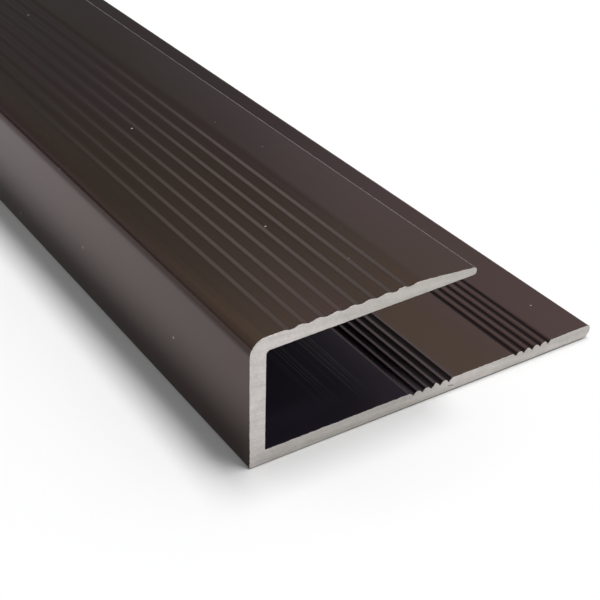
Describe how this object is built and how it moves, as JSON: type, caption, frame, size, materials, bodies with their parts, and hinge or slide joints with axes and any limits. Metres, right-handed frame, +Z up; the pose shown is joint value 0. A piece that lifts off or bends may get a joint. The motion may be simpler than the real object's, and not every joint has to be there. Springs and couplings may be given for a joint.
{
  "type": "aluminium floor edge profile",
  "caption": "Long aluminium extrusion with a wide grooved base leg, a web and a shorter ribbed flange over a channel that takes and covers the edge of a floor board.",
  "frame": {"origin": "bottom centre of the bounding box: under the middle of the base, halfway along the length", "axes": "+Y along the extrusion, +Z up from the floor through the base towards the flange, +X from the web towards the channel's open side"},
  "size_m": [0.038, 0.9, 0.0129],
  "materials": {
    "bronze_anodised": "dark bronze anodised, satin, with bare metal on the two sawn ends"
  },
  "bodies": {
    "root": {"edge_profile": "bronze_anodised"}
  },
  "joints": []
}
